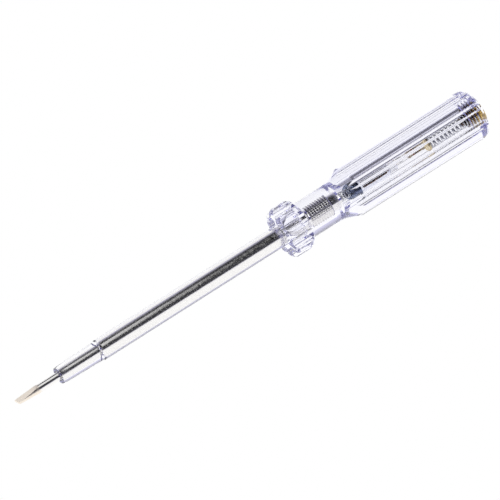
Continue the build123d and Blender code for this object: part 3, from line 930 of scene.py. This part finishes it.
# %% [markdown]
# Light that enters a clear collar is mirrored inside it many times before it gets out. By default a path
# ends in black after four mirrorings, which would blacken every corner. So the limits are raised, and the
# corners take their violet from the dye and the room.

# %% Long light paths
LONGEST_PATH = 24
cycles = bpy.context.scene.cycles
cycles.max_bounces = LONGEST_PATH
cycles.glossy_bounces = LONGEST_PATH
cycles.transmission_bounces = LONGEST_PATH
print("a light path may turn", LONGEST_PATH, "times")

# %% [markdown]
# Two white panels reflect in the steel. A large one hangs overhead and makes the soft streak along the
# shaft. Its glow fades along the tool, and the shaft mirrors it at a slant, so the streak is bright by the
# blade and gone before the handle. A small one stands close behind the blade, where the blade's flat
# mirrors it whole, so the flat is pale beside the dark shank.

# %% Panels


def hang_panel(name, size, place, towards, strength, fade=None):
    """A white panel that the camera doesn't see. It faces a point, and may fade from one X to another."""
    bpy.ops.object.select_all(action="DESELECT")
    bpy.ops.mesh.primitive_plane_add(size=1, location=place)
    panel = bpy.context.object
    panel.name = name
    panel.scale = (*size, 1)
    panel.rotation_euler = (Vector(towards) - panel.location).to_track_quat("Z", "Y").to_euler()
    bpy.ops.object.transform_apply(location=True, rotation=True, scale=True)
    panel.visible_camera = False
    panel.visible_shadow = False
    material, tree, output = new_material(name + "_glow")
    glow = add_node(tree, "ShaderNodeEmission", {"Color": (1, 1, 1, 1), "Strength": strength})
    if fade:
        point = add_node(tree, "ShaderNodeTexCoord").outputs["Object"]
        along = add_node(tree, "ShaderNodeSeparateXYZ", {"Vector": point}).outputs["X"]
        faded = add_node(
            tree,
            "ShaderNodeMapRange",
            {"Value": along, "From Min": fade[0], "From Max": fade[1], "To Min": strength, "To Max": 0.0},
            interpolation_type="SMOOTHSTEP",
        )
        tree.links.new(faded.outputs["Result"], glow.inputs["Strength"])
    tree.links.new(glow.outputs["Emission"], output.inputs["Surface"])
    panel.data.materials.append(material)
    print(name, "is", size[0], "by", size[1], "m at", place)


hang_panel(
    "overhead_panel",
    size=(0.7, 0.44),
    place=(0.05, -0.12, 0.5),
    towards=(0.05, -0.12, 0),
    strength=1.1,
    fade=(0.09, 0.18),
)
hang_panel(
    "blade_panel",
    size=(0.05, 0.09),
    place=(-0.06, 0.102, 0.064),
    towards=(-0.0905, 0, 0.0087),
    strength=1.0,
)

# %% [markdown]
# One lamp lights what isn't clear. It stands higher and further to the left than the camera's line of
# sight, and it doesn't show in the steel, which has the panels to mirror.

# %% Lamp
LAMP_SIZE = 0.5
LAMP_PLACE = (-0.3, -0.35, 0.7)
LAMP_POWER = 3.5
bpy.ops.object.light_add(type="AREA", location=LAMP_PLACE)
lamp = bpy.context.object
lamp.name = "lamp"
lamp.data.size = LAMP_SIZE
lamp.data.energy = LAMP_POWER
lamp.rotation_euler = (-lamp.location).to_track_quat("-Z", "Y").to_euler()
lamp.visible_glossy = False
print("the lamp gives", LAMP_POWER, "W from", LAMP_PLACE)

# %% [markdown]
# The photograph was taken with a long lens from in front and above, on the blade's side, and turned in
# its frame so that the tool runs up to the right. So the camera stands far off and is rolled about its
# own line of sight. It aims a little beside the middle of the tool, as the photograph does.

# %% Camera
CAMERA_AZIMUTH = -25.07
CAMERA_ELEVATION = 34.8
CAMERA_ROLL = 17.4
CAMERA_DISTANCE = 6.909
CAMERA_LENS = 1517
FARTHEST_SEEN = 100
AIM_RIGHT, AIM_UP = 0.755 * MM, 2.03 * MM
azimuth, elevation, roll = (math.radians(a) for a in (CAMERA_AZIMUTH, CAMERA_ELEVATION, CAMERA_ROLL))
back = Vector(
    (
        math.sin(azimuth) * math.cos(elevation),
        -math.cos(azimuth) * math.cos(elevation),
        math.sin(elevation),
    )
)
level = Vector((math.cos(azimuth), math.sin(azimuth), 0))
right = level * math.cos(roll) - back.cross(level) * math.sin(roll)
up = back.cross(right)
camera_data = bpy.data.cameras.new("camera")
camera_data.lens = CAMERA_LENS
camera_data.clip_end = FARTHEST_SEEN
camera = bpy.data.objects.new("camera", camera_data)
bpy.context.scene.collection.objects.link(camera)
camera.location = Vector((0, 0, AXIS_Z)) + right * AIM_RIGHT + up * AIM_UP + back * CAMERA_DISTANCE
camera.rotation_mode = "QUATERNION"
camera.rotation_quaternion = Matrix((right, up, back)).transposed().to_quaternion()
bpy.context.scene.camera = camera
bpy.context.scene.view_settings.view_transform = "Standard"
print("the camera is at", [round(value, 3) for value in camera.location])
